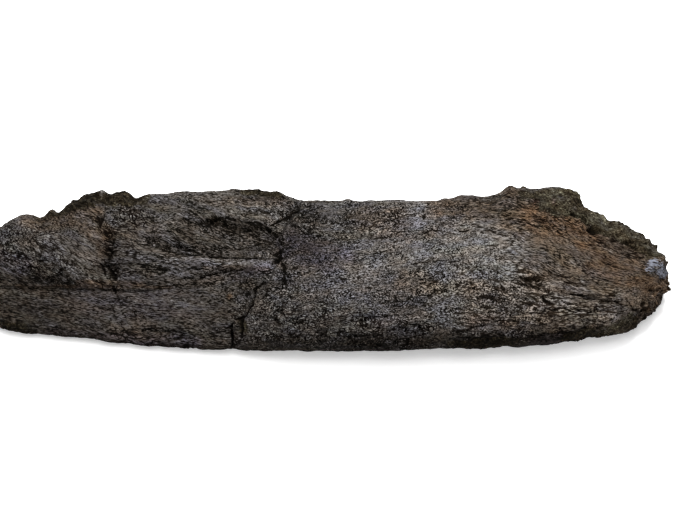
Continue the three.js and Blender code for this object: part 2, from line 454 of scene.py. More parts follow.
zones["splintered"] = [
    (4, 8, 1, (84, 0), (104, -3), (120, -6)),
    (5, 9, 1, (60, -14), (90, -14), (118, -12)),
    (3, 8, 0.7, (50, 4), (72, 1)),
    (2, 5, 0.7, (-52, 24), (-36, 22), (-24, 20)),
]
zones["crackled"] = [
    (1, 4.5, 1, (-97, 30), (-94, 24), (-91, 16), (-93, 8), (-90, 2)),
    (0.5, 2.5, 0.8, (-91, 0), (-88, -6), (-84, -14)),
    (2, 6, 0.9, (-90, 33), (-82, 33), (-77, 29)),
    (5, 11, 0.9, (-139, 22), (-128, 16), (-114, 8)),
    (1, 5, 1, (-26, 27), (-19, 20), (-20, 12), (-17, 3)),
    (3, 7, 0.8, (-17, 34), (-8, 29)),
    (6, 12, 0.6, (-32, 0), (-20, -8), (0, -14), (20, -18)),
    (2, 7, 0.7, (69, 4), (75, 0), (80, -8)),
    (2, 5, 0.7, (-116, 20), (-108, 18)),
    (3, 7, 0.4, (12, 33), (26, 30)),
    (2, 5, 1, (84, 6), (92, 0), (96, -8)),
    (1, 4, 0.8, (-60, 30), (-52, 29), (-44, 30)),
]
zones["pale"] = [(1.8, 4, 1, (140.6, 9.6), (146, 7.6))]
zones["pink"] = [(1, 3.5, 1, (93, 38.5), (100, 38))]

zoneEdges = {
    "fray": 0.7,            # how ragged the strokes are
    "size": (4, 4, 4),      # mm
    "rearFray": 1.8,        # and more so where the rear edge turns down
    "rearSize": (15, 10, 10),
    "undercut": 1.1,        # shade under what overhangs
    "clinging": (30, 16, 9),    # mm, more matrix clings in such patches along the rear edge
}


def paintZones(c):
    frayed = waves(c.places, zoneEdges["size"], 3, 21.0)
    turning = zoneEdges["rearFray"] * smooth(c.normals[:, 1], 0.35, 0.6)
    frayed += turning * waves(c.places, zoneEdges["rearSize"], 2, 27.0)
    for name, strokes in zones.items():
        total = np.zeros(len(c.places))
        for core, edge, strength, *points in strokes:
            total = np.maximum(total, strength * c.brush(points, core, edge))
        c.zones[name] = np.clip(total * (1 + zoneEdges["fray"] * frayed), 0, np.maximum(total, 1))
    # painted shade under overhanging faces, and less of the painted shade on faces turned to the rear
    undercut = smooth(-(c.normals @ upWay), 0.25, 0.9) * c.front
    turned = smooth(c.normals[:, 1], 0.6, 0.8)
    c.zones["shade"] = c.zones["shade"] * (1 - 0.7 * turned) + zoneEdges["undercut"] * undercut
    clinging = turned * smooth(c.height, 8, 15)
    clinging *= smooth(waves(c.places, zoneEdges["clinging"], 3, 63.0), 0.0, 0.5)
    c.zones["matrix"] = np.maximum(c.zones["matrix"] * (1 - 0.5 * turned), clinging)


# Relief of the whole slab: rise and size in mm. Ropes and fibres follow the grain.

bodyForm = {
    "plain": [(0.7, (38, 22, 22)), (0.35, (13, 8, 8))],
    "ropes": [(0.4, (22, 3.8, 3.8))],
    "fibres": [(0.24, (8, 1.7, 1.7)), (0.22, (2.2, 1.7, 1.7))],
    "smoothedLoss": 0.5,    # how much of the fibres is gone on smooth bone
    "speckledLoss": 0.7,    # how much of the ropes is gone on coarse bone
}


def carveForm(c, grain):
    fibrous = 1 - bodyForm["smoothedLoss"] * c.zones["smoothed"]
    roped = fibrous * (1 - bodyForm["speckledLoss"] * c.zones["speckled"])
    kinds = {"plain": (c.places, 1), "ropes": (grain, roped), "fibres": (grain, fibrous)}
    for kind, (places, share) in kinds.items():
        for rise, size in bodyForm[kind]:
            c.rise += share * rise * waves(places, size, 2, 3.1)


# Soft folds along board places: (rise, reach to either side, places)

folds = [
    (-1.3, 2.4, (-150, 2.5), (-132, 1.4), (-102, 1), (-82, 0.4), (-58, 0.8)),
    (1.4, 8, (-140, 16), (-124, 15), (-106, 13), (-97, 11)),
    (-1.5, 2.6, (-84, 23), (-76, 20.6), (-66, 17), (-52, 15)),
    (-0.8, 2.2, (-62, 17), (-44, 14.6), (-30, 14)),
    (1, 2.6, (-80, 15.6), (-60, 13), (-39, 11), (-20, 8.8)),
    (-1.3, 2, (-62, 5), (-52, 5.2), (-40, 7.2), (-29, 8.4)),
    (-1.3, 5, (-56, 22), (-40, 21.5), (-26, 21)),
    (-1, 4, (-22, 22), (-16, 16), (-18, 8)),
    (1, 12, (20, 20), (50, 22), (78, 18)),
    (-1, 3, (72, 4), (78, -5)),
    (1.3, 4, (126, -6), (136, -6)),
    (-0.8, 7, (92, 12), (112, 6), (130, 3)),
    (0.8, 5, (-150, -15), (-100, -21), (-70, -24), (-40, -26), (0, -27.5), (40, -27.5), (80, -26),
     (112, -22), (134, -15)),
]


def carveFolds(c):
    for rise, reach, *points in folds:
        line, share = trace(points)
        distance, _, number = c.beside(line, 3 * reach)
        c.rise += rise * np.exp(-(distance / reach) ** 2) * taper(share, number) * c.front


# Ledges: (drop, reach, jag, places). The side to the right of the walk drops at the line and comes
# back over the reach.

ledges = [
    (2, 8, 1.2, (-58, 29), (-51, 31), (-44, 30), (-35, 28), (-27, 27.6), (-24, 25), (-20, 21),
     (-19, 17)),
    (1.4, 12, 0.4, (-150, 2.2), (-132, 1.2), (-102, 0.8), (-82, 0.2), (-64, 0.6)),
    (1.2, 5, 1, (-93, 2), (-93, 9), (-93, 17), (-92, 21.5), (-94, 24), (-98, 26), (-98, 32)),
    (1.6, 4, 1, (104.5, 36), (109, 32.6), (114.5, 28.6), (121.5, 24.8), (127.5, 22.8),
     (134.5, 18.6), (141, 16)),
    (1.8, 5, 1.2, (82, 6.4), (90, 4.6), (96, 0), (98.4, -7)),
    (1.3, 5, 0.8, (104, 0), (112, -2), (122, -5), (130, -8.6), (138, -9)),
    (1.6, 6, 0.8, (60, -20), (84, -19.6), (100, -17.6), (116, -15)),
    (1.4, 4, 0.6, (-40, -14), (-39, -26)),
    (1, 4, 0.8, (62, 31), (74, 31.5), (82, 33.5)),
    (1.2, 4, 0.5, (90, 36.2), (97, 35), (103, 35.5)),
]

ledgeShape = {
    "step": 0.9,            # mm over which the drop comes
    "lip": 0.25,            # share of the drop that the upper edge stands up
    "lipReach": 2,          # mm
}


def carveLedges(c):
    for seed, (drop, reach, jag, *points) in enumerate(ledges):
        line, share = trace(points, jag, 3 * seed)
        distance, side, number = c.beside(line, 3 * reach)
        below = np.where(side < 0, distance, 0)
        fallen = smooth(below, 0, ledgeShape["step"])
        lip = np.where(side > 0, np.exp(-distance / ledgeShape["lipReach"]), 1 - fallen)
        profile = ledgeShape["lip"] * lip - fallen * np.exp(-below / reach)
        c.rise += drop * profile * taper(share, number) * c.front


# Cracks: (width, depth, jag, places)

cracks = [
    # left fracture, wide above and closing below the crease
    (0.55, 1.8, 0.6, (-97, 32), (-96.8, 27.2), (-92.6, 24.6), (-91, 21.6)),
    (0.55, 2, 0.8, (-95.4, 25.6), (-94, 22.6), (-91.6, 22), (-92.6, 18.6)),
    (0.45, 1.6, 0.8, (-91.2, 20.6), (-93, 18), (-92.2, 14.6), (-93, 11)),
    (0.55, 1.8, 0.7, (-93, 11.4), (-92.2, 8), (-90, 5.2), (-91.6, 2)),
    (0.45, 1.4, 0.8, (-90.6, 9.4), (-91.8, 6.4), (-90.6, 3.4)),
    (0.55, 1.3, 0.5, (-92.2, 3), (-91.2, 0.6), (-89.2, -3.2), (-87.6, -7)),
    (0.5, 0.9, 0.5, (-88.2, -5.6), (-87, -10), (-84, -14)),
    # overhang of the middle block, its fork, its knot and its tail
    (0.6, 1.2, 0.9, (-61, 27.6), (-56.6, 29.4), (-52.4, 28.6), (-48, 30.6)),
    (0.5, 1.4, 0.7, (-50, 30.8), (-43, 31), (-37, 29.4)),
    (0.6, 1.8, 0.6, (-38.6, 30), (-33, 28.6), (-30, 29), (-25.5, 27.6)),
    (0.45, 0.8, 1, (-44, 27.6), (-36, 26.6), (-30, 25.4)),
    (0.55, 1.8, 0.6, (-26.5, 28.4), (-24.6, 25.6), (-20, 21.6), (-18, 19)),
    (0.6, 1.5, 0.8, (-25, 26), (-21.4, 28.4), (-18, 31), (-12.6, 34), (-9, 36)),
    (0.65, 2, 0.3, (-17.8, 19.6), (-19.8, 16.4), (-22.4, 15.2), (-18.8, 14.2), (-20.4, 12.4),
     (-22.6, 11.2)),
    (0.55, 1.2, 1, (-18.4, 12), (-17.4, 7), (-17.2, 2)),
    # slots of the trough and of the crease below the ridge
    (0.35, 0.9, 1.4, (-76, 21.5), (-71, 19.4), (-68, 17.4)),
    (0.35, 0.9, 1.2, (-70, 17), (-64, 15.8), (-60, 16.2)),
    (0.45, 0.8, 0.6, (-62, 16), (-50, 14.6), (-40, 13.6), (-30, 13.2), (-23, 12.4)),
    (0.35, 0.6, 1, (-62, 22.6), (-54, 21.4), (-48, 22)),
    (0.35, 0.6, 1, (-52, 19), (-42, 18), (-33, 18.6)),
    (0.5, 1, 1, (-62, 4.2), (-54, 4.8), (-48, 6)),
    (0.4, 0.9, 0.9, (-50, 6.4), (-42, 7.4), (-33, 9)),
    # lower fracture between the smooth face and the rough block
    (0.5, 1.8, 0.6, (-25, 4), (-29.6, 0.2), (-30.4, -4), (-32.2, -8.4), (-35.4, -13), (-36, -16)),
    (0.8, 1.8, 0.3, (-32.6, -9), (-35, -11.6), (-38.8, -13), (-40.6, -16), (-40, -20)),
    (0.9, 2.4, 0.5, (-40.2, -15), (-40.4, -19.5), (-39.4, -26)),
    (0.5, 1.4, 0.6, (-35, -12), (-35.6, -21)),
    (0.3, 0.5, 0.2, (-40, -7.5), (-35.5, -11)),
    # dark slots in the splintered side
    (0.42, 1.2, 1.2, (82, 5.4), (86, 4.4), (89, 3)),
    (0.4, 1.2, 1.4, (84, 3.4), (87, 2.6), (89.6, 0.4)),
    (0.5, 1.6, 1.6, (87.4, 3.2), (90.4, 0.4), (91.8, -2)),
    (0.65, 1.8, 1.2, (91, -1), (93.8, -2.6), (93, -4.6), (96, -6.4), (95.6, -8)),
    (0.45, 1, 1.2, (71, 3), (75, 0.6), (77.4, -4.4)),
    (0.5, 1.2, 0.9, (97.6, 0.4), (103.8, -2), (108, -1.8), (113.4, -4.8)),
    (0.4, 0.9, 1, (92, -8), (108, -8.6), (120, -10)),
    (0.4, 0.9, 0.4, (130, -8.4), (135, -9.6), (139, -9)),
    (0.6, 1, 0.9, (60, -20.4), (84, -20), (100, -18)),
    # slots elsewhere on the right block, and one at the left fracture
    (0.35, 0.4, 0.6, (18, 22), (26, 21.8), (33, 22.6)),
    (0.4, 0.7, 0.5, (40, 23.6), (46, 25), (51, 24.4)),
    (0.4, 0.4, 0.6, (57, 24.6), (62, 25.2), (66, 25)),
    (0.35, 0.5, 0.6, (34, 9.6), (42, 11.4), (50, 12), (60, 11.2)),
    (0.4, 0.9, 0.4, (128.6, -2.6), (128.4, -5.4), (131, -8), (135.4, -8.4)),
    (0.6, 1, 0.8, (42, 35), (43, 31), (42, 28.6)),
    (0.55, 1.4, 0.9, (-96.4, 11), (-95.4, 8), (-93.4, 4.8)),
    # gap under the matrix rim, with its hole
    (0.3, 1, 1, (106, 34), (110, 30.6), (114.4, 28.4)),
    (1.25, 3.2, 0.2, (113.8, 27.2), (117.8, 24.6)),
    (0.5, 1.4, 1, (119, 25), (123, 22.4), (126, 21)),
    (0.35, 1.2, 1, (126, 21.4), (131, 19.4), (136, 16.6)),
    (0.35, 1, 0.9, (135, 17), (141, 14.8)),
    # two more slots low on the right
    (0.45, 1, 0.9, (120, -3.4), (123.4, -5), (127, -6)),
    (0.4, 0.9, 1, (99.4, -4.6), (103, -6.4), (109.6, -6.8)),
]

crackShape = {
    "reach": 6,             # mm, nothing further off is touched
    "swell": (0.8, 1.1),    # the width's usual share, and how far it swings along the crack
    "thinnest": 0.3,
    "ends": 0.25,           # how much of a crack is left at its two ends
}


def carveCracks(c):
    dark = np.zeros(len(c.places))
    sunk = np.zeros(len(c.places))
    usual, swing = crackShape["swell"]
    for seed, (width, depth, jag, *points) in enumerate(cracks):
        line, share = trace(points, jag, 3 * seed)
        distance, _, number = c.beside(line, crackShape["reach"])
        swell = [usual + swing * noise.noise((s * 0.13, seed * 5.1, 0)) for s in range(len(line))]
        widths = width * np.maximum(swell, crackShape["thinnest"])
        cut = np.exp(-(distance / widths[number]) ** 2) * c.front
        cut = cut * (crackShape["ends"] + (1 - crackShape["ends"]) * taper(share, number))
        sunk = np.maximum(sunk, depth * cut)
        dark = np.maximum(dark, cut)
    c.rise -= sunk
    return dark


# Wandering pits in the pitted zones, and in faint patches elsewhere

pits = {
    "kinds": [((4.2, 1.7, 1.7), 0.7), ((8, 3.4, 3.4), 1.2)],    # size and depth in mm
    "patches": (30, 14, 14),
    "patchShare": 0.35,
}


def carvePits(c, grain):
    where = c.zones["pitted"] * (1 - c.zones["matrix"])
    patchy = smooth(waves(grain, pits["patches"], 2, 77.0), -0.1, 0.5)
    where = np.maximum(where, pits["patchShare"] * patchy * (1 - c.zones["smoothed"]))
    dark = np.zeros(len(c.places))
    for number, (size, depth) in enumerate(pits["kinds"]):
        opening = worms(grain, size, 50 + 9 * number) * smooth(where, 0.15, 0.6)
        c.rise -= depth * opening
        dark = np.maximum(dark, opening)
    return dark


splinters = {
    "size": (14, 2.8, 4),   # mm, one plate
    "rise": 0.9,            # difference in level
    "tilt": 0.8,            # lower edge over upper edge
    "gap": 0.5,             # depth between plates
    "gapWidth": 0.11,       # as a share of a plate
}


def carveSplinters(c, grain):
    inside, level, across = plates(grain, splinters["size"], 5.0)
    gap = 1 - smooth(inside, 0.0, splinters["gapWidth"])
    rise = splinters["rise"] * (level - 0.5) - splinters["tilt"] * across - splinters["gap"] * gap
    c.rise += c.zones["splintered"] * rise
    return gap * smooth(c.zones["splintered"], 0.2, 0.6)


crust = {
    "rise": 0.3,            # mm, how far the matrix stands off the bone
    "rough": 0.9,           # mm, its roughness, made of:
    "lumps": (1.1, 7),      # share and size in mm
    "grains": (0.3, 1.9),
    "gaps": 0.4,            # share of the gaps between its grains
}


def carveCrust(c):
    lumpShare, lumpSize = crust["lumps"]
    grainShare, grainSize = crust["grains"]
    inside, level, _ = plates(c.places, (grainSize,) * 3, 17.0)
    lumps = waves(c.places, (lumpSize,) * 3, 3, 33.0)
    gaps = 1 - smooth(inside, 0, 0.4)
    rough = lumpShare * lumps + grainShare * level - crust["gaps"] * gaps
    c.rise += c.zones["matrix"] * (crust["rise"] + crust["rough"] * rough)


# Broken faces: a dense rind at the top and the bottom, and spongy bone between

breaks = {
    "rearFacing": (0.82, 0.97),     # how squarely a face looks back where the rear break comes in
    "endFacing": (0.35, 0.8),       # the same for the two end breaks
    "station": 4,                   # mm along, one reading of the wall's height for each
    "rind": 0.14,                   # share of the wall's height at its top
    "rindWander": 0.06,
    "cells": [(8, 3.2, 3.2), (4, 1.9, 1.9)],
    "cellBend": 1.6,                # mm, how far the cells are pulled out of shape
    "cellDepth": 1.8,
    "ragged": 1.3,                  # mm, in and out along the rear break
    "stubs": 2.4,                   # mm, unequal fibre ends on the two end breaks
}


def wallShare(c):
    # how high each point is, from 0 on the flat underside to 1 at the wall's top edge
    stations = np.round((c.board[:, 0] - c.board[:, 0].min()) / breaks["station"]).astype(int)
    tops = np.ones(stations.max() + 1)
    np.maximum.at(tops, stations, np.where(c.normals[:, 1] > 0.5, c.height, 0))
    return c.height / tops[stations] + breaks["rindWander"] * waves(c.places, (14, 14, 14), 2, 71.0)


def carveBreaks(c):
    rear = smooth(c.normals[:, 1], *breaks["rearFacing"])
    ends = smooth(np.abs(c.normals[:, 0]), *breaks["endFacing"])
    share = wallShare(c)
    rind = breaks["rind"]
    overBottom = smooth(share, 0.5 * rind, rind)
    core = np.maximum(rear, ends) * overBottom * (1 - smooth(share, 1 - rind, 1 - 0.4 * rind))
    pulls = np.stack([waves(c.places, (7, 4, 4), 2, 90.0 + 5 * i) for i in range(3)], axis=1)
    bent = c.places + breaks["cellBend"] * pulls
    cells = np.zeros(len(c.places))
    for number, size in enumerate(breaks["cells"]):
        inside, level, _ = plates(bent, size, 3.3 + 4 * number)
        cells = np.maximum(cells, smooth(inside, 0.06, 0.45) * smooth(level, 0.3, 0.9) * core)
    c.rise += rear * breaks["ragged"] * waves(c.places, (16, 9, 9), 4, 40.5)
    c.rise += ends * breaks["stubs"] * (waves(c.places, (30, 3.2, 3.2), 3, 61.0) - 0.2)
    c.rise -= breaks["cellDepth"] * cells
    return core, cells


# Bites and bumps of the outline: (along, up, reach, move along, move up)

nudges = [
    (148.2, 0.8, 2.8, 1.1, -0.2), (138.4, 20.3, 5, 0.7, 0.5), (146.5, 10, 4, 1, 0.2),
    (-97, 42, 2.6, 0, 1), (-95.1, 42.8, 2.5, 0, -2.1), (-88.4, 41, 2.2, 0, 1.1),
    (-120, 33.2, 2.4, 0, 1.9), (-116.2, 34.4, 2.4, 0, -1.7), (-86.4, 41.6, 2.2, 0, 0.5),
    (-83.4, 40.8, 2.4, 0, -1), (146.2, -3.4, 2.2, -2.4, 0.8), (143, 13, 3, 1.6, 0.8),
    (81, 43, 2.6, 0, 1.5), (95, 44, 5, 0, -1.3), (9.7, 37.4, 2, 0, 1.2),
    (52, 38.6, 1.8, 0, 0.9), (59, 39.4, 2.4, 0, 0.8), (-131, 30, 6, 0, 1.6),
    (-124, 33, 4, 0, -2), (70.5, 41, 5, 0, -2.2), (123.2, 28.8, 3.6, -0.6, -2.6),
    (134, 24.6, 3, 0, -1.2), (45, -26.5, 9, 0, 0.8), (-28, 43.5, 5, 0, -1.1),
    (-11, 39, 4, 0, -0.6), (-82, 40.5, 3.2, 0, -0.6), (-107.6, 38.4, 2.4, 0, -0.7),
    (-102.4, 42, 2.8, 0, -1.1), (-91, 42, 2.5, 0, 0.3), (77.5, -25.5, 2.5, 0, 1),
    (29, 38, 8, 0, 0.5), (-40.5, 42.5, 2.2, 0, 0.9), (-31.5, 44, 4, 0, 0.4),
    (-20.4, 42, 2.4, 0, 0.8), (109, 38.5, 3, 0.6, 1.2), (82, -25.5, 8, 0, -0.5),
    (100, -23.5, 6, 0, -0.3), (-80, -25, 5, 0, -0.5), (114, -21.5, 6, 0, 0.9),
    (55, -27, 5, 0, 0.7), (17, -27.5, 6, 0, 0.5), (-110.4, 36.2, 2.4, 0, 0.8),
    (-92, -22.5, 7, 0, -1.1), (-78, -24, 6, 0, -0.9), (-1, -27, 4, 0, -0.4),
    (-7.5, -27, 3.5, 0, -0.9), (75, 42, 3.6, 0, -1), (144.6, -3.6, 2.2, -1.6, 0.4),
    (132, -17, 5, 0.6, -1.2),
]


def nudgeOutline(c):
    for along, up, reach, moveAlong, moveUp in nudges:
        distance = np.linalg.norm(c.board - np.array([along, up]), axis=1)
        pull = np.exp(-(distance / reach) ** 2) * smooth(c.height, 0.5, 4)
        c.places = c.places + pull[:, None] * (moveAlong * alongWay + moveUp * upWay)


def makeFrillBone():
    piece = makeBlank()
    c = Carving(piece)
    grain = grainPlaces(c)
    paintZones(c)
    carveForm(c, grain)
    carveFolds(c)
    carveLedges(c)
    carveCrust(c)
    core, cells = carveBreaks(c)
    pitted = carvePits(c, grain)
    split = carveSplinters(c, grain)
    cracked = carveCracks(c)
    c.rise *= smooth(c.height, 0.2, 3)      # the flat underside stays flat
    nudgeOutline(c)
    c.finish()
    layer = piece.data.attributes.new("grain", "FLOAT_VECTOR", "POINT")
    layer.data.foreach_set("vector", grain.astype(np.float32).ravel())
    pitted = np.maximum(pitted, 0.4 * split)
    kept = {"crack": cracked, "pit": pitted, "core": core, "cells": cells, **c.zones}
    for name, values in kept.items():
        c.keep(name, values)
    faces = piece.data.polygons
    faces.foreach_set("use_smooth", np.ones(len(faces), dtype=bool))
    print("frill bone:", sum(len(face.vertices) - 2 for face in faces), "triangles")
    return piece


frillBone = makeFrillBone()

# Materials

class Wire:
    # a socket that can be used in sums: a + b, 1 - a, a * 0.5
    def __init__(self, bench, socket):
        self.bench = bench
        self.socket = socket

    def maths(self, operation, *values):
        return self.bench.add("ShaderNodeMath", {"operation": operation}, dict(enumerate(values)))

    def __add__(self, other):
        return self.maths("ADD", self, other)

    __radd__ = __add__

    def __sub__(self, other):
        return self.maths("SUBTRACT", self, other)

    def __rsub__(self, other):
        return self.maths("SUBTRACT", other, self)

    def __mul__(self, other):
        return self.maths("MULTIPLY", self, other)

    __rmul__ = __mul__

    def __truediv__(self, other):
        return self.maths("DIVIDE", self, other)

    def __or__(self, other):
        # the larger of the two
        return self.maths("MAXIMUM", self, other)

    def __and__(self, other):
        # the smaller of the two
        return self.maths("MINIMUM", self, other)

    def __abs__(self):
        return self.maths("ABSOLUTE", self)


class Bench:
    def __init__(self, owner):
        owner.use_nodes = True
        self.owner = owner
        self.tree = owner.node_tree
        self.tree.nodes.clear()

    def add(self, kind, settings=None, sockets=None, output=0):
        node = self.tree.nodes.new(kind)
        for name, value in (settings or {}).items():
            if name == "stops":
                self.setStops(node.color_ramp, value)
            else:
                setattr(node, name, value)
        for key, value in (sockets or {}).items():
            if isinstance(value, Wire):
                self.tree.links.new(value.socket, node.inputs[key])
            else:
                node.inputs[key].default_value = value
        return Wire(self, node.outputs[output]) if node.outputs else None

    def setStops(self, ramp, stops):
        while len(ramp.elements) < len(stops):
            ramp.elements.new(1.0)
        for element, (position, colour) in zip(ramp.elements, stops):
            element.position = position
            element.color = colour

    def mask(self, name):
        return self.add("ShaderNodeAttribute", {"attribute_name": name}, output="Fac")

    def vector(self, operation, first, second):
        return self.add("ShaderNodeVectorMath", {"operation": operation}, {0: first, 1: second})

    def stretch(self, places, size, shift):
        scaled = self.vector("MULTIPLY", places, tuple(1 / s for s in size))
        return self.vector("ADD", scaled, (shift, shift, shift))

    def waves(self, places, size, detail=2.0, shift=0.0, roughness=0.55):
        # noise around 0
        sockets = {"Vector": self.stretch(places, size, shift), "Scale": 1.0, "Detail": detail,
                   "Roughness": roughness}
        return self.add("ShaderNodeTexNoise", {}, sockets) - 0.5

    def warp(self, places, size, reach):
        # moves the places by about "reach" mm, as the noise strays a quarter from its middle
        sockets = {"Vector": self.stretch(places, size, 3.0), "Scale": 1.0, "Detail": 1.0}
        swirl = self.add("ShaderNodeTexNoise", {}, sockets, "Color")
        centred = self.vector("SUBTRACT", swirl, (0.5, 0.5, 0.5))
        move = self.vector("MULTIPLY", centred, tuple(4 * r for r in reach))
        return self.vector("ADD", places, move)

    def hold(self, value, limit, share):
        # takes this share off what is over the limit
        over = (value - limit) | 0
        return value - over * share

    def worms(self, places, size, crowd, width, shift=0.0):
        # short wandering slits, 1 inside: more of them as "crowd" goes from 0 to 1
        path = self.waves(places, size, 1.5, shift)
        where = self.waves(places, tuple(0.9 * s for s in size), 1, shift + 6.0)
        share = self.hold(crowd + where * 3.0, 0.55, 0.85)
        return self.step(share - abs(path) / width, -0.5, 0.3)

    def cells(self, places, size, shift=0.0, feature="F1"):
        # distance from the middles of scattered cells, or from their edges
        sockets = {"Vector": self.stretch(places, size, shift), "Scale": 1.0}
        return self.add("ShaderNodeTexVoronoi", {"feature": feature}, sockets)

    def step(self, value, low, high):
        # 0 below "low", 1 above "high", eased between
        sockets = {"Value": value, "From Min": low, "From Max": high}
        return self.add("ShaderNodeMapRange", {"interpolation_type": "SMOOTHSTEP"}, sockets)

    def blend(self, share, first, second, way="MIX"):
        settings = {"data_type": "RGBA", "blend_type": way, "clamp_factor": True}
        return self.add("ShaderNodeMix", settings, {0: share, 6: first, 7: second}, 2)

    def finish(self, sockets):
        shader = self.add("ShaderNodeBsdfPrincipled", {}, sockets)
        self.add("ShaderNodeOutputMaterial", {}, {"Surface": shader})
        return self.owner


def paint(red, green, blue):
    # a colour picked as it looks on a screen, 0 to 255
    def linear(value):
        share = value / 255
        return share / 12.92 if share <= 0.04045 else ((share + 0.055) / 1.055) ** 2.4
    return (linear(red), linear(green), linear(blue), 1)


boneLook = {
    "tones": [               # from the gaps between the fibres to their lightest threads
        (0.0, paint(9, 7, 5)),
        (0.3, paint(35, 30, 25)),
        (0.55, paint(62, 58, 54)),
        (0.78, paint(87, 83, 80)),
        (1.0, paint(122, 120, 118)),
    ],
    "pale": paint(118, 122, 134),
    "tints": {               # each multiplies the tone
        "rust": (1.3, 0.98, 0.7, 1),
        "tan": (1.14, 0.98, 0.82, 1),
        "purple": (1.0, 0.975, 1.17, 1),
        "pink": (1.35, 1.0, 0.9, 1),
        "cool": (0.93, 0.97, 1.11, 1),
        "moss": (0.985, 1.02, 0.96, 1),
        "core": (1.12, 0.97, 0.82, 1),
        "matrix": (0.99, 0.97, 0.77, 1),
    },
    "zoneTints": {"tan": 1.0, "rust": 0.9, "purple": 1.0, "pink": 0.8},
    "plain": 0.62,           # tone of plain bone
    "earth": 0.43,           # tone of the matrix
    "patches": 0.5,          # how much the large patches change the tone
    "light": 0.17,           # what the painted light and the painted shade strokes add and take
    "shade": 0.2,
    "splintered": 0.08,
    "threads": 3.1,          # weight of the threads beside the fibres
    "streaks": (1.2, 0.45),  # strength of both, and what the calm patches take off it
    "grains": (7.4, 4.4),    # the same for the grains of coarse bone
    "coarse": (0.15, 0.85),  # grains left on smooth bone, and what coarse bone adds
    "peaks": (0.05, 0.62),   # over this, detail is held back by this share
    "relief": 0.6,           # mm
    "roughness": 0.8,
    "gloss": 0.02,
}

# Patterns: what each follows, its size in mm along, across and into the bone, octaves, seed and
# roughness. "drift" sways a little beside the grain, and "wander" more so on coarse bone.

bonePatterns = {
    "patches": ("grain", (36, 12, 12), 3, 2.0, 0.55),
    "calm": ("grain", (12, 6, 6), 2, 57.0, 0.55),
    "clods": ("grain", (3, 2, 2), 4, 31.0, 0.65),
    "bands": ("drift", (26, 2.2, 2.2), 2, 3.0, 0.55),
    "fibres": ("drift", (6, 1.0, 1.0), 3, 5.0, 0.6),
    "threads": ("drift", (1.8, 0.44, 0.44), 1, 9.0, 0.55),
    "moss": ("drift", (16, 8, 8), 3, 47.0, 0.55),
    "speckle": ("wander", (0.8, 0.4, 0.4), 1, 13.0, 0.55),
    "blotches": ("wander", (4.5, 2.4, 2.4), 2, 17.0, 0.55),
    "hue": ("wander", (13, 5.5, 5.5), 3, 41.0, 0.55),
}

# Dark slits where the fine canals lie open: size in mm, width as a share of it, and seed

boneSlits = {
    "slits": ((8.5, 1.6, 1.6), 0.055, 21.0),
    "channels": ((3.2, 1.2, 1.2), 0.058, 27.0),
    "rifts": ((15, 2.6, 20), 0.042, 44.0),
    "net": ((4.2, 2.6, 30), 13.0, 51.0),        # cracks between cells, and how thin they are
    "most": 0.42,                               # how crowded they get
}


def bonePlaces(b):
    grain = b.add("ShaderNodeAttribute", {"attribute_name": "grain"}, output="Vector")
    drift = b.warp(grain, (12, 8, 8), (0.3, 0.55, 0.55))
    wander = b.blend(b.mask("speckled"), drift, b.warp(grain, (6, 5, 5), (0.7, 1.1, 1.1)))
    return {"grain": grain, "drift": drift, "wander": wander}


def boneDetail(b, p, zone, calm):
    # fibres on the smooth bone, grains on the coarse one
    look = boneLook
    streaks = p["fibres"] + p["threads"] * look["threads"]
    streaks = streaks * (look["streaks"][0] - calm * look["streaks"][1]) + p["bands"] * 0.5
    grains = p["speckle"] * (look["grains"][0] - calm * look["grains"][1]) + p["blotches"] * 0.6
    left, added = look["coarse"]
    detail = streaks * (1 - zone["speckled"] * 0.6) + grains * (left + zone["speckled"] * added)
    return b.hold(detail * (1 - zone["smoothed"] * 0.25), *look["peaks"])


def boneGaps(b, p, places, zone, calm):
    # 1 in the dark slits, cracks and pinholes
    speckled = zone["speckled"]
    crowd = (p["patches"] + p["blotches"]) * 1.2 + zone["pitted"] * 0.42
    crowd = crowd - zone["smoothed"] * 0.4 - (calm - 0.5) * 0.35
    crowd = crowd & boneSlits["most"]
    crowds = {
        "slits": ("drift", crowd - speckled * 0.35 + 0.08),
        "channels": ("wander", crowd + speckled * 0.16 - 0.23),
        "rifts": ("drift", zone["splintered"] * 1.5 - 0.65 + p["threads"] * 2.2),
    }
    pinholes = b.step(p["speckle"] + p["threads"] * 0.5 - crowd * 0.06 - speckled * 0.05, -0.17, -0.11)
    gaps = (1 - pinholes) * 0.8
    for name, (follows, share) in crowds.items():
        size, width, seed = boneSlits[name]
        gaps = gaps | b.worms(places[follows], size, share, width, seed)
    size, thinness, seed = boneSlits["net"]
    bent = b.warp(places["wander"], (1.6, 1.6, 1.6), (0.35, 0.35, 0.35))
    net = b.cells(bent, size, seed, "DISTANCE_TO_EDGE") * thinness
    crackle = zone["crackled"] * 0.8 + p["blotches"] * 1.8 + p["threads"] * 0.8
    return gaps | b.step(crackle - net, 0.1, 0.4)


def tintBone(b, p, zone, tone, crusted):
    look = boneLook
    core = zone["core"] * b.step(p["patches"] + p["blotches"] * 0.5, -0.15, 0.1)
    shares = [
        ("tan", b.step(p["hue"], -0.02, 0.14) * 0.42),
        ("cool", (1 - b.step(p["hue"], -0.14, 0.0)) * 0.8),
        ("moss", b.step(p["moss"], 0.0, 0.15) * 0.6),
        ("core", core),
    ]
    shares += [(name, zone[name] * share * (1 - crusted)) for name, share in look["zoneTints"].items()]
    shares += [("matrix", crusted)]
    colour = b.add("ShaderNodeValToRGB", {"stops": look["tones"]}, {"Fac": tone})
    for name, share in shares:
        colour = b.blend(share, colour, look["tints"][name], "MULTIPLY")
    streaky = b.step(zone["pale"] * 0.6 + p["threads"] * 2.4 + p["fibres"] * 1.2, 0.2, 0.9)
    return b.blend(streaky * b.step(zone["pale"], 0.05, 0.4), colour, look["pale"])


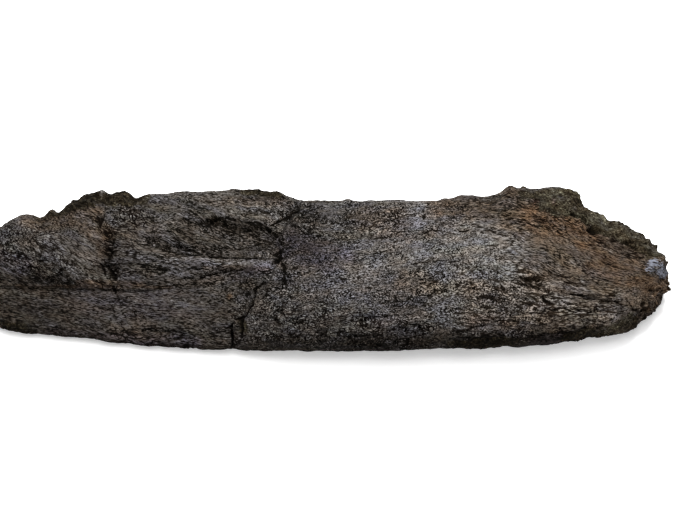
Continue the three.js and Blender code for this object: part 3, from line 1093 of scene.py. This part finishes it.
def boneMaterial():
    look = boneLook
    b = Bench(bpy.data.materials.new("fossil_bone"))
    zone = {name: b.mask(name) for name in [*zones, "crack", "pit", "core", "cells"]}
    places = bonePlaces(b)
    p = {}
    for name, (follows, *pattern) in bonePatterns.items():
        p[name] = b.waves(places[follows], *pattern)
    calm = b.step(p["calm"], -0.1, 0.1)
    detail = boneDetail(b, p, zone, calm)
    gaps = boneGaps(b, p, places, zone, calm)
    tone = (look["plain"] + detail + p["patches"] * look["patches"]) * (1 - gaps * 0.95)

    grit = b.cells(places["grain"], (1.3, 1.0, 1.0), 4.0)
    crusted = b.step(zone["matrix"] + p["clods"] * 2.0, 0.25, 0.75)
    earth = look["earth"] + p["clods"] * 1.4 + p["speckle"] * 1.6 - b.step(grit, 0.3, 0.8) * 0.15
    tone = tone * (1 - crusted) + earth * crusted
    # painted light and painted shade from the strokes lift and lower the tone
    tone = tone + zone["light"] * look["light"] - zone["shade"] * look["shade"]
    tone = tone + zone["splintered"] * look["splintered"]

    # cells of the spongy bone, cracks and pits are dark, with crumbling edges
    crumbs = p["speckle"] * 0.9
    hollow = b.step(zone["cells"] + p["speckle"] * 0.5, 0.15, 0.6)
    split = b.step(zone["crack"] + crumbs, 0.3, 0.55)
    sunk = b.step(zone["pit"] - detail * 0.9 + crumbs, 0.35, 0.85)
    tone = tone * (1 - hollow * 0.6) * (1 - split * 0.95) * (1 - sunk * 0.35)

    height = detail * (1 - crusted) - gaps * 0.6 + ((p["clods"] + 0.5) * 1.2 - grit * 0.5) * crusted
    bump = b.add("ShaderNodeBump", {}, {"Strength": 1.0, "Distance": look["relief"] * mm, "Height": height})
    return b.finish({"Base Color": tintBone(b, p, zone, tone, crusted),
                     "Roughness": look["roughness"] + p["speckle"] * 0.3,
                     "Normal": bump, "Specular IOR Level": look["gloss"]})


frillBone.data.materials.append(boneMaterial())
print("bone finished")

# Studio

studio = {
    "target": (10.6, -0.8, 19.0),   # mm
    "distance": 1.1,                # m
    "frameWidth": 0.3031,           # m of the scene across the frame at the target
    "floorSize": 6.0,               # m
    "floorPaint": (0.9, 0.9, 0.9, 1),
    "floorGlow": 0.4,               # the floor is lit from below a little, as a light table is
    "sky": 0.35,                    # brightness of the sky as it lights the slab
    "backdrop": 0.9,                # its brightness as the camera sees it
    "lamps": {
        # name: (place in m, size in m, watts)
        "softbox": ((0.12, 0.33, 0.8), 0.4, 14.0),
        "overhead": ((-0.2, -0.1, 1.2), 1.0, 12.0),
    },
}


def makeCamera():
    camera = bpy.data.objects.new("camera", bpy.data.cameras.new("camera"))
    scene.collection.objects.link(camera)
    target = Vector(studio["target"]) * mm
    camera.location = target + Vector(outWay) * studio["distance"]
    camera.rotation_euler = (math.pi / 2 - lean, 0, 0)
    camera.data.lens = camera.data.sensor_width * studio["distance"] / studio["frameWidth"]
    camera.data.clip_end = 50
    scene.camera = camera


def makeFloor():
    shape = bmesh.new()
    bmesh.ops.create_grid(shape, x_segments=1, y_segments=1, size=studio["floorSize"] / 2)
    mesh = bpy.data.meshes.new("floor")
    shape.to_mesh(mesh)
    shape.free()
    floor = bpy.data.objects.new("floor", mesh)
    scene.collection.objects.link(floor)
    b = Bench(bpy.data.materials.new("pale_floor"))
    mesh.materials.append(b.finish({"Base Color": studio["floorPaint"], "Roughness": 0.9,
                                    "Specular IOR Level": 0.0, "Emission Color": (1, 1, 1, 1),
                                    "Emission Strength": studio["floorGlow"]}))


def makeLamps():
    for name, (place, size, watts) in studio["lamps"].items():
        lamp = bpy.data.objects.new(name, bpy.data.lights.new(name, "AREA"))
        scene.collection.objects.link(lamp)
        lamp.data.size = size
        lamp.data.energy = watts
        lamp.location = place
        lamp.rotation_euler = (-Vector(place)).to_track_quat("-Z", "Y").to_euler()


def makeSky():
    b = Bench(bpy.data.worlds.new("sky"))
    seen = b.add("ShaderNodeLightPath", output="Is Camera Ray")
    strength = seen * (studio["backdrop"] - studio["sky"]) + studio["sky"]
    background = b.add("ShaderNodeBackground", {}, {"Color": (1, 1, 1, 1), "Strength": strength})
    b.add("ShaderNodeOutputWorld", {}, {"Surface": background})
    scene.world = b.owner


makeCamera()
makeFloor()
makeLamps()
makeSky()
scene.view_settings.view_transform = "Standard"
print("studio set")

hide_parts("frill_section")
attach(frillBone, "root")
